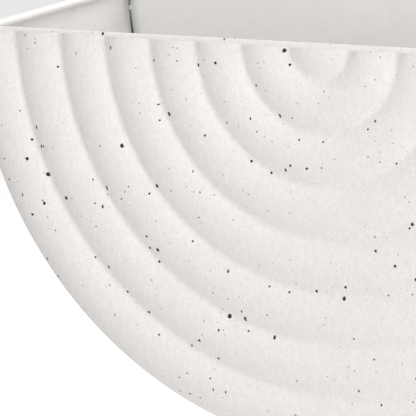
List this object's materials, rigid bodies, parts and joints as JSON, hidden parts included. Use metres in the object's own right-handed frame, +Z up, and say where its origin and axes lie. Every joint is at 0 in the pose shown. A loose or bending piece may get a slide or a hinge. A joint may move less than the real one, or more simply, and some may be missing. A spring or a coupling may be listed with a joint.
{
  "type": "wall planter",
  "caption": "Half-moon wall planter of painted sheet steel: a ribbed front panel, curved side band and flat keyholed back panel welded into an open-topped pot.",
  "frame": {"origin": "rear face of the back panel, midway between the two keyholes, at the height of the seats on which the screws bear", "axes": "+X to the right seen from the front, +Y into the wall, +Z up"},
  "size_m": [0.3864, 0.1409, 0.1953],
  "materials": {
    "speckled_paint": "matt warm white powder coat, fine orange peel, with black specks",
    "band_paint": "matt warm white powder coat with few black specks, thin and grey in the back seam",
    "back_paint": "matt warm white powder coat with few black specks, thin and grey in the back seam",
    "weld_paint": "thinly painted steel weld bead"
  },
  "bodies": {
    "root": {"front_panel": "speckled_paint", "side_band": "band_paint", "back_panel": "back_paint", "front_seam_weld": "weld_paint", "back_tack_weld_1": "weld_paint", "back_tack_weld_2": "weld_paint", "back_tack_weld_3": "weld_paint", "back_tack_weld_4": "weld_paint", "back_tack_weld_5": "weld_paint", "back_tack_weld_6": "weld_paint", "back_tack_weld_7": "weld_paint"}
  },
  "joints": []
}
